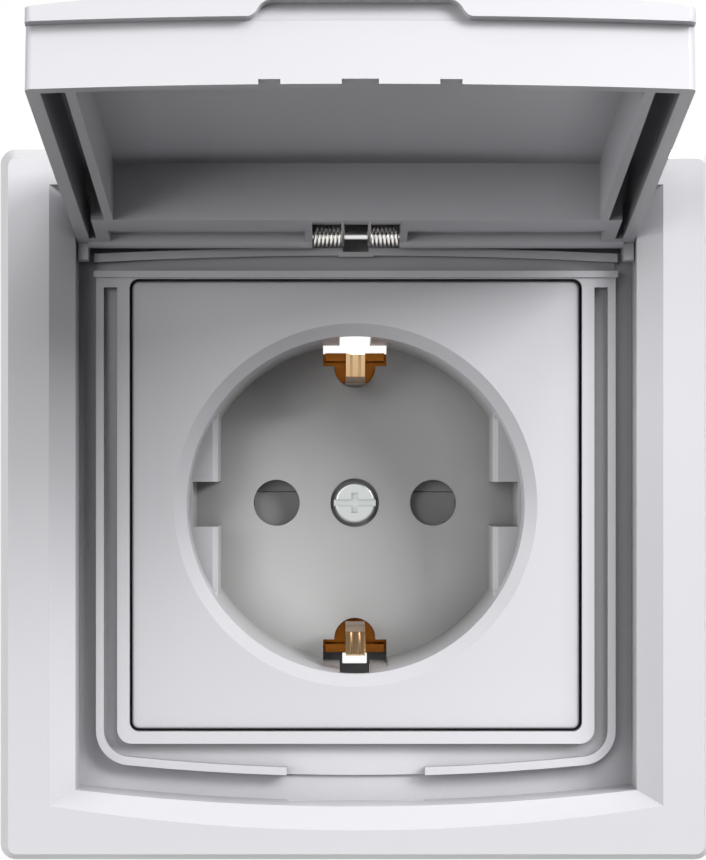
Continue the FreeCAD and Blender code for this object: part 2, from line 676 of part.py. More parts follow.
def rib_box(sketch, width, top, foot, bow, radius):
    """Bowed box whose two lower corners are rounded with tangent arcs."""
    half = width / 2
    big = (half * half + bow * bow) / (bow * 2)
    h, t, f, r, c = [value.number for value in (half, lift(top), lift(foot), big, lift(radius))]
    middle = f + r
    level = middle - math.sqrt((r - c) ** 2 - (h - c) ** 2)
    lean = FreeCAD.Vector(h - c, level - middle, 0).normalize()
    touch = FreeCAD.Vector(0, middle, 0) + lean * r
    vector = FreeCAD.Vector
    left_touch = vector(-touch.x, touch.y, 0)
    bottom = sketch.addGeometry(arc_between(vector(0, middle, 0), r, left_touch, touch))
    right_arc = sketch.addGeometry(arc_between(vector(h - c, level, 0), c, touch, vector(h, level, 0)))
    right = sketch.addGeometry(Part.LineSegment(vector(h, level, 0), vector(h, t, 0)))
    head = sketch.addGeometry(Part.LineSegment(vector(h, t, 0), vector(-h, t, 0)))
    left = sketch.addGeometry(Part.LineSegment(vector(-h, t, 0), vector(-h, level, 0)))
    left_arc = sketch.addGeometry(arc_between(vector(-h + c, level, 0), c, vector(-h, level, 0), left_touch))
    for first, second in ((bottom, right_arc), (right_arc, right), (left, left_arc), (left_arc, bottom)):
        sketch.addConstraint(Sketcher.Constraint("Tangent", first, 2, second, 1))
    sketch.addConstraint(Sketcher.Constraint("Coincident", right, 2, head, 1))
    sketch.addConstraint(Sketcher.Constraint("Coincident", head, 2, left, 1))
    sketch.addConstraint(Sketcher.Constraint("Equal", right_arc, left_arc))
    sketch.addConstraint(Sketcher.Constraint("Vertical", right))
    sketch.addConstraint(Sketcher.Constraint("Vertical", left))
    limit(sketch, "Radius", (bottom,), big)
    place(sketch, bottom, 3, 0, foot + big)
    limit(sketch, "Radius", (right_arc,), radius)
    place(sketch, head, 1, half, top)
    place(sketch, head, 2, -half, top)


def dome_cut(body, width, height, dome):
    """Cut away what lies in front of a panel that bulges across its width."""
    half = width / 2
    clear = height + dome * 4
    outline = top_sketch(body, 0)
    chain(outline, [(-half, -height, dome), (half, -height), (half, -clear), (-half, -clear)])
    pocket(body, outline, lid_reach() * 3, both=True)


def lid_reach():
    """From the hinge axis to the middle of the lid's free edge."""
    return opening_foot - lid_gap + axle_level


def lid():
    body = new_body("lid")
    width = opening_width - lid_gap * 2
    tall = panel_height + panel_dome
    outline = front_sketch(body, -rim_drop)
    rib_box(outline, width, knuckle_radius, -lid_reach(), opening_bow, lid_corner)
    pad(body, outline, tall + rim_drop)
    nose_back = panel_height - nose_thickness
    nose = front_sketch(body, nose_back)
    rib_box(nose, width, -lid_reach() / 2, -lid_reach() - nose_reach, opening_bow, lid_corner)
    pad(body, nose, tall - nose_back)
    dome_cut(body, width, panel_height, panel_dome)

    # The outside falls back to the rounded hinge end, which turns in the frame's pocket.
    run = (slope_reach - valley_reach) / (panel_height - knuckle_radius)
    clear = tall * 2
    outside = side_sketch(body, 0)
    chain(outside, [
        (0, knuckle_radius, knuckle_radius * (1 - math.sqrt(0.5))),
        (-knuckle_radius, 0),
        (-knuckle_radius, -valley_reach),
        (-clear, -valley_reach - (clear - knuckle_radius) * run),
        (-clear, clear),
        (0, clear),
    ])
    pocket(body, outside, width * 2, both=True)
    under = side_sketch(body, 0)
    box_outline(under, 0, rim_drop * 2, 0, clear)
    pocket(body, under, width * 2, both=True)

    # The core leaves the walls, the inner rib on three sides and the hinge block.
    core = lid_core(width - lid_wall * 2)
    boolean = body.newObject("PartDesign::Boolean", "lid_hollow")
    boolean.Type = "Cut"
    boolean.setObjects([core])
    body.Tip = boolean

    # Groove under the hinge block
    groove = front_sketch(body, 0)
    side = width / 2 - lid_wall - wall_rib_gap
    box_outline(groove, -side, side, -groove_reach, 0)
    pocket(body, groove, rim_drop * 2)

    # Barrels and ears round the axle
    barrel = side_sketch(body, 0)
    disc(barrel, 0, 0, barrel_radius * 2)
    pad(body, barrel, width - ear_width * 2, both=True)
    flat = (ear_radius * ear_radius - ear_cut * ear_cut).root()
    for start in (width / 2 - ear_width, -width / 2):
        ear = side_sketch(body, start)
        chain(ear, [(-flat, -ear_cut), (flat, -ear_cut, ear_radius + ear_cut)])
        pad(body, ear, ear_width)

    # Pocket for the spring and the seat of its loop, between two cheeks
    side = spring_room / 2
    room = coil_radius + wire + fit_gap
    recess = front_sketch(body, room + wire)
    box_outline(recess, -side, side, -room - wire, knuckle_radius)
    pocket(body, recess, room * 3)
    seat = front_sketch(body, loop_seat)
    box_outline(seat, -side, side, -loop_reach - wire, -room)
    pocket(body, seat, loop_seat + rim_drop * 2)
    for left in (-side - bracket_wall, side):
        bracket = front_sketch(body, -rim_drop)
        box_outline(bracket, left, left + bracket_wall, -loop_reach, barrel_radius)
        pad(body, bracket, rim_drop + barrel_radius)

    # Air notches in the front rim and the thumb scoop under the overhang
    for middle, breadth in ((0, mid_notch), (side_notch_at, side_notch), (-side_notch_at, side_notch)):
        notch = front_sketch(body, notch_depth - rim_drop)
        low = -lid_reach() - nose_reach
        middle = lift(middle)
        box_outline(notch, middle - breadth / 2, middle + breadth / 2, low, low + nose_reach + lid_wall * 3)
        pocket(body, notch, rim_drop)
    scoop = top_sketch(body, -lid_reach() + nose_reach / 5)
    mouth = scoop_width / 2
    back = scoop_back / 2
    waist = (mouth + back) / 2
    level = nose_back + scoop_depth / 2
    chain(scoop, [
        (-mouth, -nose_back + seat_gap),
        (mouth, -nose_back + seat_gap, scoop_curve),
        (waist, -level, -scoop_curve),
        (back, -nose_back - scoop_depth),
        (-back, -nose_back - scoop_depth, -scoop_curve),
        (-waist, -level, scoop_curve),
    ])
    pocket(body, scoop, nose_reach * 4)

    bore = side_sketch(body, 0)
    disc(bore, 0, 0, axle_diameter + bore_gap * 2)
    pocket(body, bore, width * 2, both=True)
    swing_open(body)
    return body


def lid_core(width):
    """The space inside the lid, in front of its rim."""
    body = new_body("lid_core")
    depth = panel_height - lid_skin
    foot = lid_reach() - lid_wall
    outline = front_sketch(body, -rim_drop)
    bowed_box(outline, width, -channel_reach, -foot, opening_bow)
    pad(body, outline, panel_height + panel_dome + rim_drop)
    dome_cut(body, width, depth, inner_dome)
    run = (slope_reach - valley_reach) / (panel_height - knuckle_radius)
    low = knuckle_radius - lid_skin
    clear = panel_height * 2
    slope = side_sketch(body, 0)
    chain(slope, [
        (-low, 0),
        (-low, -valley_reach),
        (-clear, -valley_reach - (clear - low) * run),
        (-clear, 0),
    ])
    pocket(body, slope, width * 2, both=True)
    side = width / 2 - wall_rib_gap
    edge = width / 2 - block_gap
    block = front_sketch(body, panel_height * 2)
    box_outline(block, -edge, edge, -block_reach, 0)
    pocket(body, block, panel_height * 4)
    for left in (-side, side - wall_rib):
        rib = front_sketch(body, panel_height * 2)
        box_outline(rib, left, left + wall_rib, -lid_reach(), -channel_reach)
        pocket(body, rib, panel_height * 4)
    return body


def swing_open(item):
    """Put what was drawn round the hinge axis in its open place."""
    place_at = FreeCAD.Vector(0, -axle_height.number, axle_level.number)
    turn = FreeCAD.Rotation(FreeCAD.Vector(1, 0, 0), -open_angle.number)
    item.Placement = FreeCAD.Placement(place_at, turn)


def hinge_axle():
    body = new_body("hinge_axle")
    round_bar = side_sketch(body, 0)
    disc(round_bar, -axle_height, axle_level, axle_diameter)
    pad(body, round_bar, opening_width + tub_wall * 1.5, both=True)
    return body


def bent_wire(points, radius):
    """Round wire along straight runs, with a ball at each bend."""
    pieces = []
    for start, end in zip(points, points[1:]):
        pieces.append(Part.makeCylinder(radius, (end - start).Length, start, end - start))
    for bend in points[1:-1]:
        pieces.append(Part.makeSphere(radius, bend))
    return pieces


def coil(start, end, radius, turns, wire_radius, first_angle):
    """Helical wire along X, beginning at first_angle round the axis."""
    length = end - start
    helix = Part.makeHelix(length / turns, length, radius)
    path = Part.Wire(helix.Edges)
    tangent = FreeCAD.Vector(0, 2 * math.pi * radius, length / turns).normalize()
    section = Part.Wire([Part.Circle(FreeCAD.Vector(radius, 0, 0), tangent, wire_radius).toShape()])
    pipe = path.makePipeShell([section], True, True)
    pipe.rotate(FreeCAD.Vector(0, 0, 0), FreeCAD.Vector(0, 0, 1), first_angle)
    pipe.rotate(FreeCAD.Vector(0, 0, 0), FreeCAD.Vector(0, 1, 0), 90)
    pipe.translate(FreeCAD.Vector(start, 0, 0))
    return pipe


def lid_spring():
    """Two coils on the axle, their middle loop under the lid and their outer legs on the frame."""
    thin = wire.number / 2
    radius = coil_radius.number
    reach = loop_reach.number
    inner = coil_inner.number
    outer = coil_outer.number
    half_coils = []
    vector = FreeCAD.Vector
    turn = FreeCAD.Rotation(vector(1, 0, 0), -open_angle.number)
    centre = vector(0, -axle_height.number, axle_level.number)

    def from_lid(x, t, u):
        return centre + turn.multVec(vector(x, -t, -u))

    loop_start = from_lid(inner, -radius, 0)
    seat = loop_seat.number - thin - bore_gap.number
    loop_end = from_lid(inner, seat, reach)
    far_end = from_lid(-inner, seat, reach)
    far_start = from_lid(-inner, -radius, 0)
    pieces = bent_wire([loop_start, loop_end, far_end, far_start], thin)

    # The coil starts where the loop leaves it and ends where the leg runs back to the frame.
    away = loop_start - centre
    first = math.degrees(math.atan2(away.y, -away.z))
    whole = coil_turns.number
    right = coil(inner, outer, radius, whole, thin, 0)
    right.rotate(vector(0, 0, 0), vector(1, 0, 0), first)
    right.translate(vector(0, centre.y, centre.z))
    half_coils.append(right)
    half_coils.append(right.mirror(vector(0, 0, 0), vector(1, 0, 0)))
    leg_start = from_lid(outer, -radius, 0)
    floor = -pocket_height.number - thin
    leg_end = vector(outer, floor, leg_start.z + 2 * radius)
    for side in (1, -1):
        start = vector(side * leg_start.x, leg_start.y, leg_start.z)
        end = vector(side * leg_end.x, leg_end.y, leg_end.z)
        pieces.extend(bent_wire([start, end], thin))
        pieces.append(Part.makeSphere(thin, start))
        pieces.append(Part.makeSphere(thin, vector(side * inner, loop_start.y, loop_start.z)))
    feature = doc.addObject("Part::Feature", "lid_spring")
    feature.Shape = half_coils[0].multiFuse(half_coils[1:] + pieces)
    feature.Label = "lid_spring"
    return feature


def centre_plate():
    body = new_body("centre_plate")
    half = plate_width / 2
    back = plate_height - plate_thickness
    square = front_sketch(body, back)
    rounded_box(square, -half, half, -half, half, plate_corner)
    slab = pad(body, square, plate_thickness)
    doc.recompute()
    front = -plate_height.number
    names = edges_where(slab.Shape, lambda ends, middle: all(near(end.y, front) for end in ends))
    round_edges(body, slab, names, plate_edge)

    # Turned form of the recess, outside and inside
    outer = side_sketch(body, 0)
    behind = floor_depth + pot_floor
    chain(outer, [
        (-plate_height + plate_edge, 0),
        (behind, 0),
        (behind, recess_floor / 2 + pot_wall),
        (-plate_height + plate_edge, recess_rim / 2 + pot_wall),
    ])
    turned(body, outer, "Revolution")
    inner = side_sketch(body, 0)
    chain(inner, [
        (-plate_height, 0),
        (floor_depth, 0),
        (floor_depth, recess_floor / 2),
        (chamfer_depth - plate_height, recess_rim / 2),
        (-plate_height, recess_mouth / 2),
    ])
    turned(body, inner, "Groove")

    # Guides at both sides, each a segment of the round recess with a slot across it
    root = recess_floor / 2 + pot_wall / 2
    end = (root * root - block_face * block_face).root()
    tall = recess_depth - block_top
    for side in (1, -1):
        guide = front_sketch(body, -floor_depth)
        corners = [(block_face * side, -end, root - block_face), (block_face * side, end)]
        if side < 0:
            corners = [(block_face * side, end, root - block_face), (block_face * side, -end)]
        chain(guide, corners)
        pad(body, guide, tall)
    top = plate_height - block_top
    reach = (recess_floor * recess_floor / 4 - block_face * block_face).root()
    for side in (1, -1):
        bevel = top_sketch(body, 0)
        face = block_face * side
        corners = [(face, -top), (face + block_chamfer * side, -top), (face, block_chamfer - top)]
        if side < 0:
            corners.reverse()
        chain(bevel, corners)
        pocket(body, bevel, reach * 2, both=True)
    slot = front_sketch(body, plate_height - chamfer_depth)
    reach = recess_floor / 2
    box_outline(slot, -reach, reach, -block_slot / 2, block_slot / 2)
    pocket(body, slot, recess_depth - chamfer_depth)

    # Earth windows at top and bottom, pin holes and the hole for the screw
    for side in (1, -1):
        window = front_sketch(body, 0)
        near_edge = window_inner * side
        far_edge = recess_floor / 2 * side
        box_outline(window, -window_width / 2, window_width / 2, near_edge, far_edge)
        pocket(body, window, recess_depth * 2)
        round_end = front_sketch(body, 0)
        disc(round_end, 0, (window_inner - window_shift) * side, window_radius * 2)
        pocket(body, round_end, recess_depth * 2)
        stem = front_sketch(body, plate_height - plate_thickness)
        outside = (recess_rim / 2 + pot_wall * 2) * side
        box_outline(stem, -stem_width / 2, stem_width / 2, window_inner * side, outside)
        pocket(body, stem, recess_depth * 2)
    for x in (-pin_pitch / 2, pin_pitch / 2):
        hole = front_sketch(body, -floor_depth)
        disc(hole, x, 0, pin_hole)
        pocket(body, hole, pot_floor * 2)
    head = front_sketch(body, -floor_depth)
    disc(head, 0, 0, head_hole)
    pocket(body, head, head_seat)
    shank = front_sketch(body, -floor_depth)
    disc(shank, 0, 0, screw_diameter + seat_gap * 2)
    pocket(body, shank, pot_floor * 2)
    return body


def turned(body, sketch, kind):
    """Turn a half profile once round the recess axis, which is the sketch's horizontal axis."""
    feature = body.newObject("PartDesign::" + kind, body.Name + "_turned")
    feature.Profile = sketch
    feature.ReferenceAxis = (sketch, ["H_Axis"])
    feature.Angle = 360
    body.Tip = feature


def centre_screw():
    body = new_body("centre_screw")
    seat = floor_depth + head_seat
    shank = front_sketch(body, -screw_end)
    disc(shank, 0, 0, screw_diameter)
    pad(body, shank, screw_end - seat)
    head = front_sketch(body, -seat)
    disc(head, 0, 0, screw_head)
    cap = pad(body, head, head_height)
    doc.recompute()
    top = head_height.number - seat.number
    names = edges_where(cap.Shape, lambda ends, middle: all(near(end.y, -top) for end in ends))
    round_edges(body, cap, names, head_height / 4)
    slot = front_sketch(body, head_height - seat)
    half = screw_head / 2
    box_outline(slot, -half, half, -slot_width / 2, slot_width / 2)
    pocket(body, slot, slot_depth)
    cross = front_sketch(body, head_height - seat)
    box_outline(cross, -slot_width / 2, slot_width / 2, -cross_length / 2, cross_length / 2)
    pocket(body, cross, slot_depth)
    return body


def support_ring():
    body = new_body("support_ring")
    half = ring_width / 2
    plate = front_sketch(body, 0)
    rounded_box(plate, -half, half, -half, half, ring_corner)
    disc(plate, 0, 0, ring_hole)
    for side in (1, -1):
        middle = fixing_pitch / 2 * side
        reach = fixing_length / 2
        narrow = fixing_width / 2
        rounded_box(plate, middle - reach, middle + reach, -narrow, narrow, narrow * 0.98)
    pad(body, plate, ring_thickness)
    rivet_holes(body, ring_thickness)
    return body


def rivet_places():
    """The four rivets, two in each arm of the base."""
    across = base_width / 2 - arm_wall / 2 + rivet_shift
    up = rivet_pitch / 2
    return [(across, up), (across, -up), (-across, up), (-across, -up)]


def rivet_holes(body, height):
    holes = front_sketch(body, height)
    for x, z in rivet_places():
        disc(holes, x, z, rivet_diameter + bore_gap * 2)
    pocket(body, holes, height)


def chambers():
    """The two contact chambers as (inner, outer) distances from the middle."""
    inner = pin_pitch / 2 - pin_diameter / 2 - sleeve_wall - fit_gap
    outer = tab_end + fit_gap
    return inner, outer


def socket_base():
    body = new_body("socket_base")
    half = base_width / 2
    tall = base_length / 2
    block = front_sketch(body, -base_back)
    rounded_box(block, -half, half, -tall, tall, base_corner)
    pad(body, block, base_back - base_front)
    for left in (-half, half - arm_wall):
        arm = front_sketch(body, -base_front)
        box_outline(arm, left, left + arm_wall, -arm_length / 2, arm_length / 2)
        pad(body, arm, base_front)

    inner, outer = chambers()
    chamber_back = tab_front + tab_thickness
    for side in (1, -1):
        chamber = front_sketch(body, -base_front)
        box_outline(chamber, inner * side, outer * side, -chamber_length / 2, chamber_length / 2)
        pocket(body, chamber, chamber_back - base_front)
        shaft = front_sketch(body, -base_front)
        disc(shaft, terminal_at * side, 0, screw_diameter + fit_gap * 2)
        pocket(body, shaft, base_back - base_front - pot_wall)
        for z in (-entry_offset, entry_offset):
            entry = front_sketch(body, -chamber_back)
            disc(entry, (terminal_at + entry_diameter / 2) * side, z, entry_diameter)
            pocket(body, entry, base_back)

    # Groove for the earth strap, its terminal and the middle screw
    groove = front_sketch(body, -base_front)
    width = strap_width / 2 + seat_gap
    box_outline(groove, -width, width, -base_length, base_length)
    pocket(body, groove, tab_thickness)
    well = front_sketch(body, -base_front)
    reach = clamp_width / 2 + fit_gap
    box_outline(well, -reach, reach, -earth_screw_at - reach, -earth_screw_at + reach)
    pocket(body, well, tab_thickness + wire_room + clamp_thickness * 3)
    for x in (-entry_offset, entry_offset):
        entry = front_sketch(body, -base_front)
        disc(entry, x, -earth_screw_at, entry_diameter)
        pocket(body, entry, base_back)
    shaft = front_sketch(body, -base_front)
    disc(shaft, 0, 0, screw_diameter + fit_gap * 2)
    pocket(body, shaft, screw_end - base_front + fit_gap * 3)

    # Holes for the rivets, with room for their heads inside the arms
    holes = front_sketch(body, 0)
    for x, z in rivet_places():
        disc(holes, x, z, rivet_diameter + bore_gap * 2)
    pocket(body, holes, ring_thickness * 3)
    for x, z in rivet_places():
        room = top_sketch(body, z - rivet_head / 2)
        reach = rivet_head / 2
        box_outline(room, x - reach, x + reach, ring_thickness * 3, ring_thickness * 5)
        pad_room = pocket(body, room, rivet_head)
        pad_room.Reversed = True
    return body


def ring_rivets():
    """Four rivets that hold the ring on the arms of the base."""
    rivets = []
    for index, (x, z) in enumerate(rivet_places()):
        body = new_body("rivet_%d" % (index + 1))
        shank = front_sketch(body, -ring_thickness * 3)
        disc(shank, x, z, rivet_diameter)
        pad(body, shank, ring_thickness * 4)
        closing = front_sketch(body, -ring_thickness * 3 - rivet_head_height)
        disc(closing, x, z, rivet_head - fit_gap)
        pad(body, closing, rivet_head_height)
        rivets.append(body)
    group = doc.addObject("Part::Compound", "ring_rivets")
    group.Links = rivets
    group.Label = "ring_rivets"
    return group


def pin_contact(label, side):
    """Split sleeve on a tab that ends under the terminal screw."""
    body = new_body(label)
    at = pin_pitch / 2 * side
    tab = front_sketch(body, -tab_front - tab_thickness)
    inner = (pin_pitch / 2 - pin_diameter / 2 - sleeve_wall) * side
    box_outline(tab, inner, tab_end * side, -tab_width / 2, tab_width / 2)
    pad(body, tab, tab_thickness)
    sleeve = front_sketch(body, -tab_front)
    disc(sleeve, at, 0, pin_diameter + sleeve_wall * 2)
    disc(sleeve, at, 0, pin_diameter)
    pad(body, sleeve, tab_front - sleeve_front)
    split = front_sketch(body, -sleeve_front)
    reach = pin_diameter / 2 + sleeve_wall * 2
    box_outline(split, at - sleeve_wall, at + sleeve_wall, -reach, reach)
    pocket(body, split, (tab_front - sleeve_front) * 0.8)
    hole = front_sketch(body, -tab_front)
    disc(hole, terminal_at * side, 0, screw_diameter + bore_gap * 2)
    pocket(body, hole, tab_thickness)
    return body


def earth_contact():
    """Strap behind the recess floor, bent forward into a sprung finger at both ends."""
    body = new_body("earth_contact")
    strap = front_sketch(body, -base_front - tab_thickness)
    half = strap_width / 2
    box_outline(strap, -half, half, -strap_end, strap_end)
    pad(body, strap, tab_thickness)
    for side in (1, -1):
        shoulder = front_sketch(body, -base_front)
        reach = shoulder_width / 2
        inside = (strap_end - tab_thickness) * side
        box_outline(shoulder, -reach, reach, inside, strap_end * side)
        pad(body, shoulder, base_front - shoulder_front)
        finger = side_sketch(body, 0)
        sheet_z = finger_sheet * side
        root = (strap_end - tab_thickness / 2) * side
        crest = finger_crest * side
        tip = finger_tip * side
        rear = (crest_depth + shoulder_front) / 2
        bend = crest + sheet_z * 0.8
        corners = [
            (shoulder_front + finger_sheet, root),
            (shoulder_front, root - sheet_z),
            (rear, bend - sheet_z),
            (crest_depth, crest),
            (0, crest + sheet_z),
            (-tip_depth, tip),
            (-tip_depth + finger_sheet, tip + sheet_z / 4),
            (finger_sheet, crest + sheet_z * 2.2),
            (crest_depth, crest + sheet_z),
            (rear, bend),
            (shoulder_front, root + sheet_z / 2),
        ]
        chain(finger, corners)
        pad(body, finger, finger_width, both=True)
    for z in (lift(0), -earth_screw_at):
        hole = front_sketch(body, -base_front)
        disc(hole, 0, z, screw_diameter + bore_gap * 2)
        pocket(body, hole, tab_thickness)
    return body


def clamp(label, x, z, front):
    """Square plate that presses the wire on a contact."""
    body = new_body(label)
    reach = clamp_width / 2
    plate = front_sketch(body, -front - clamp_thickness)
    box_outline(plate, x - reach, x + reach, z - reach, z + reach)
    disc(plate, x, z, screw_diameter + bore_gap * 2)
    pad(body, plate, clamp_thickness)
    return body


def clamp_screw(label, x, z, head_back, end):
    """Slotted terminal screw, head to the front."""
    body = new_body(label)
    shank = front_sketch(body, -end)
    disc(shank, x, z, screw_diameter)
    pad(body, shank, end - head_back)
    head = front_sketch(body, -head_back)
    disc(head, x, z, clamp_head)
    pad(body, head, clamp_head_height)
    slot = front_sketch(body, clamp_head_height - head_back)
    box_outline(slot, x - slot_width / 2, x + slot_width / 2, z - clamp_head, z + clamp_head)
    pocket(body, slot, slot_depth)
    return body


def terminals():
    """Clamping plate and screw of the line, neutral and earth terminals."""
    made = []
    for name, side in (("line", -1), ("neutral", 1)):
        x = terminal_at * side
        plate_front = tab_front - wire_room - clamp_thickness
        made.append(clamp(name + "_clamp", x, lift(0), plate_front))
        end = tab_front + tab_thickness * 3
        made.append(clamp_screw(name + "_clamp_screw", x, lift(0), plate_front, end))
    plate_front = base_front + tab_thickness + wire_room
    made.append(clamp("earth_clamp", lift(0), -earth_screw_at, plate_front))
    end = plate_front + clamp_thickness * 2
    made.append(clamp_screw("earth_clamp_screw", lift(0), -earth_screw_at, base_front, end))
    return made


def shutter_room():
    """Front and back of the shutter's pocket behind the wall."""
    front = floor_depth + pot_floor + seat_gap + carrier_skin
    return front, base_front


def shutter_carrier():
    body = new_body("shutter_carrier")
    front, back = shutter_room()
    skin_front = front - carrier_skin
    half = carrier_width / 2
    plate = front_sketch(body, -back)
    rounded_box(plate, -half, half, -carrier_foot, carrier_top, 1.5)
    pad(body, plate, back - skin_front)
    room = front_sketch(body, -front)
    side = shutter_width / 2 + fit_gap
    low = -shutter_length / 2 - fit_gap
    high = shutter_length / 2 + shutter_travel + fit_gap
    box_outline(room, -side, side, low, high)
    pocket(body, room, back)
    well = front_sketch(body, -front)
    reach = return_radius + return_wire + fit_gap
    box_outline(well, -reach, reach, 0, carrier_top - pot_wall)
    pocket(body, well, back)
    boss = front_sketch(body, -back)
    disc(boss, 0, 0, boss_diameter)
    pad(body, boss, back - front)
    for x in (-pin_pitch / 2, pin_pitch / 2):
        hole = front_sketch(body, -skin_front)
        disc(hole, x, 0, pin_hole)
        pocket(body, hole, carrier_skin)
    hole = front_sketch(body, -skin_front)
    disc(hole, 0, 0, screw_diameter + seat_gap * 2)
    pocket(body, hole, back)
    return body


def shutter():
    """Sliding bar that closes both pin holes and straddles the boss."""
    body = new_body("shutter")
    front, back = shutter_room()
    face = back - seat_gap - shutter_thickness
    half = shutter_width / 2
    tall = shutter_length / 2
    notch = shutter_slot / 2
    bar = front_sketch(body, -face - shutter_thickness)
    chain(bar, [
        (-half, -tall), (-notch, -tall), (-notch, notch), (notch, notch),
        (notch, -tall), (half, -tall), (half, tall), (-half, tall),
    ])
    pad(body, bar, shutter_thickness - wedge_step)
    for x in (-pin_pitch / 2, pin_pitch / 2):
        field = front_sketch(body, -face - wedge_step)
        box_outline(field, x - pin_hole / 2, x + pin_hole / 2, -tall, shutter_thickness)
        pad(body, field, wedge_step)
    return body


def shutter_spring():
    """Small compression spring above the shutter."""
    front, back = shutter_room()
    thin = return_wire.number / 2
    low = shutter_length.number / 2 + thin
    high = carrier_top.number - pot_wall.number - thin
    spring = coil(low, high, return_radius.number, return_turns.number, thin, 0)
    spring.rotate(FreeCAD.Vector(0, 0, 0), FreeCAD.Vector(0, 1, 0), -90)
    spring.translate(FreeCAD.Vector(0, (front.number + back.number) / 2, 0))
    feature = doc.addObject("Part::Feature", "shutter_spring")
    feature.Shape = spring
    feature.Label = "shutter_spring"
    return feature


def ring_seal(label, outer, breadth, back, thickness, radius):
    """Flat square seal."""
    body = new_body(label)
    inner = outer - breadth
    outline = front_sketch(body, back)
    rounded_box(outline, -outer, outer, -outer, outer, radius)
    rounded_box(outline, -inner, inner, -inner, inner, radius)
    pad(body, outline, thickness)
    return body


def plate_seal():
    outer = plate_width / 2
    return ring_seal("plate_seal", outer, plate_seal_width, flange_height, seal_height, plate_corner)


def wall_seal():
    outer = frame_width / 2 - seat_gap
    return ring_seal("wall_seal", outer, skirt_wall - seat_gap, lift(0), seal_thickness, frame_corner)


nodes = [
    cover_frame(),
    lid(),
    hinge_axle(),
    lid_spring(),
    centre_plate(),
    centre_screw(),
    support_ring(),
    socket_base(),
    ring_rivets(),
    pin_contact("line_contact", -1),
    pin_contact("neutral_contact", 1),
    earth_contact(),
    shutter_carrier(),
    shutter(),
    shutter_spring(),
    plate_seal(),
    wall_seal(),
] + terminals()

doc.recompute()

faults = []
for item in doc.Objects:
    if "Invalid" in item.State or "Error" in item.State:
        faults.append(item.Name)
for body in [item for item in doc.Objects if item.TypeId == "PartDesign::Body"]:
    before = 0.0
    for feature in body.Group:
        if not hasattr(feature, "Shape") or feature.Shape.Volume == 0:
            continue
        kind = feature.TypeId
        volume = feature.Shape.Volume
        removes = "Pocket" in kind or "Subtractive" in kind or "Groove" in kind
        if removes and volume >= before - 1e-6:
            faults.append(feature.Name + " cuts nothing")
        if "Pad" in kind and volume <= before + 1e-6:
            faults.append(feature.Name + " adds nothing")
        before = volume
for node in nodes:
    if node.Shape.isNull() or not node.Shape.isValid():
        faults.append(node.Label + " has no valid shape")
if faults:
    raise SystemExit("faults: " + ", ".join(faults))

for node in nodes:
    node.Shape.exportStep("parts/%s.step" % node.Label)
    solids = len(node.Shape.Solids)
    print("%-20s %d solid(s) %10.2f mm3" % (node.Label, solids, node.Shape.Volume))
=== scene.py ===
import json
import math

import bmesh
import bpy
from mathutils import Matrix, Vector


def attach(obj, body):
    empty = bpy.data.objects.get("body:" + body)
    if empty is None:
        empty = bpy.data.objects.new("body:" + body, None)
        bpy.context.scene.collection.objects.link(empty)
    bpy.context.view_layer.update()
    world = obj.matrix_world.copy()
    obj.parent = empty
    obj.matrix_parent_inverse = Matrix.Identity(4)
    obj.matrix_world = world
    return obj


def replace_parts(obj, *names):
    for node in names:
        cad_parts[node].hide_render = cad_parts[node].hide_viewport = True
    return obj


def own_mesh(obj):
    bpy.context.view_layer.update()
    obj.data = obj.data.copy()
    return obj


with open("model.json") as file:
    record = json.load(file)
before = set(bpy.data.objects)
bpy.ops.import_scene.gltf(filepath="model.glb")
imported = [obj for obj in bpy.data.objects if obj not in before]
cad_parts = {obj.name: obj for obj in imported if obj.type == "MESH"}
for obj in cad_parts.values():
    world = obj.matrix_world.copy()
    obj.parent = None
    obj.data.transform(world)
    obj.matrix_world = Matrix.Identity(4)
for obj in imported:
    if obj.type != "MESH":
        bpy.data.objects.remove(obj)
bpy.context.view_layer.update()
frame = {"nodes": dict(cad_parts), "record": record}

# Lengths are in metres: X to the right, Z up, -Y out of the wall, which is the plane y = 0
MM = 0.001
HINGE_AT = Vector((0, -7.8, 31.05)) * MM
OPEN_TILT = math.radians(9.5)  # the open lid points out of the wall and rises by this much
SAME_PLACE = 1e-6  # vertices nearer than this to each other are one
ON_PLANE = 1e-7  # a vertex nearer than this to a cutting plane lies on it
FLAT = math.radians(0.6)  # faces that meet at less than this are one

# Finish
GRAIN = 900.0
MOTTLE_TO_GRAIN = 12  # how much coarser the mottle is than the grain
GRAIN_HEIGHT = 0.02 * MM
GLOSS_SPREAD = 0.15  # share by which the roughness rises and falls with the mottle
DEEP_FROM, DEEP_TO = -2 * MM, 8 * MM  # between these depths a finish darkens to the shade painted in for depth
CORNER_SHADE_REACH = 6 * MM  # walls nearer than this paint shade into a channel or corner
CORNER_SHADE_SAMPLES = 4
WHITE = (0.735, 0.73, 0.762)
# Shades painted into the white plastic and the brass deep behind the wall's plane
RECESS_SHADE = (0.6, 0.6, 0.597)
BRASS_SHADE = (0.22, 0.075, 0.012)

